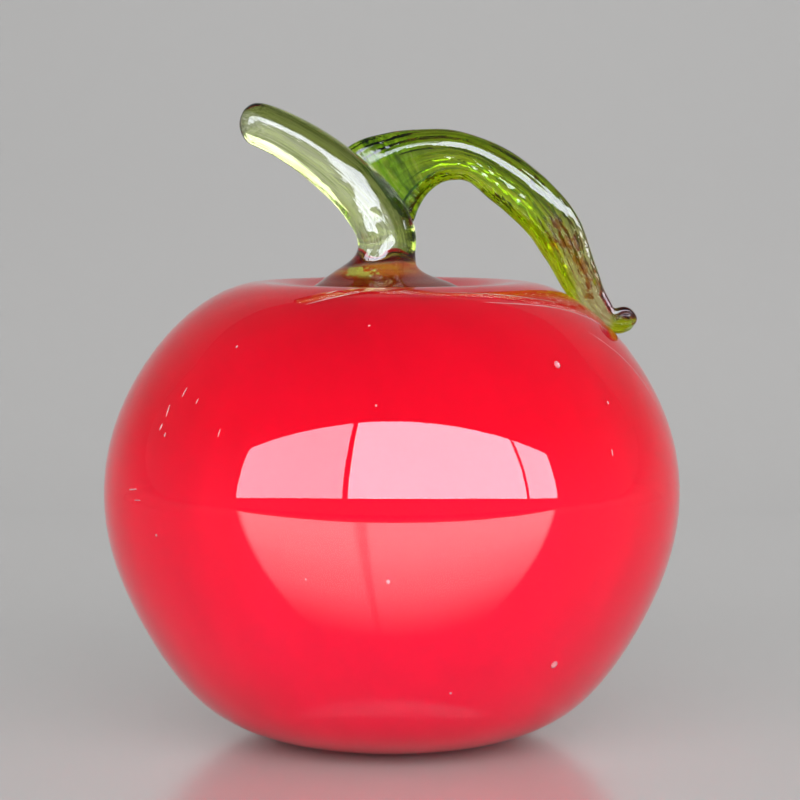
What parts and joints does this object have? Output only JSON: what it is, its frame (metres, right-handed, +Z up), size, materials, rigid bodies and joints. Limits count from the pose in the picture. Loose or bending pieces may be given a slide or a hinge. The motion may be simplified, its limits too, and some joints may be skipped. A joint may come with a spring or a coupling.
{
  "type": "glass apple ornament",
  "caption": "Hollow blown glass apple ornament: red body cased in clear glass, with a bent pale green stem and a ribbed green leaf that arches down on the shoulder.",
  "frame": {"origin": "middle of the body on the plane that the ground base ring rests on", "axes": "+Z up; +X to the right, the side that the leaf arches to; -Y towards the viewer"},
  "size_m": [0.138, 0.138, 0.1519],
  "materials": {
    "clear_glass": "fire polished clear glass with a few seeds",
    "red_glass": "dense ruby red glass",
    "opal_glass": "white opal glass",
    "stem_glass": "pale green clear glass",
    "leaf_glass": "green clear glass with drawn ribs"
  },
  "bodies": {
    "root": {"clear_casing": "clear_glass", "red_layer": "red_glass", "opal_liner": "opal_glass", "stem": "stem_glass", "leaf": "leaf_glass"}
  },
  "joints": []
}
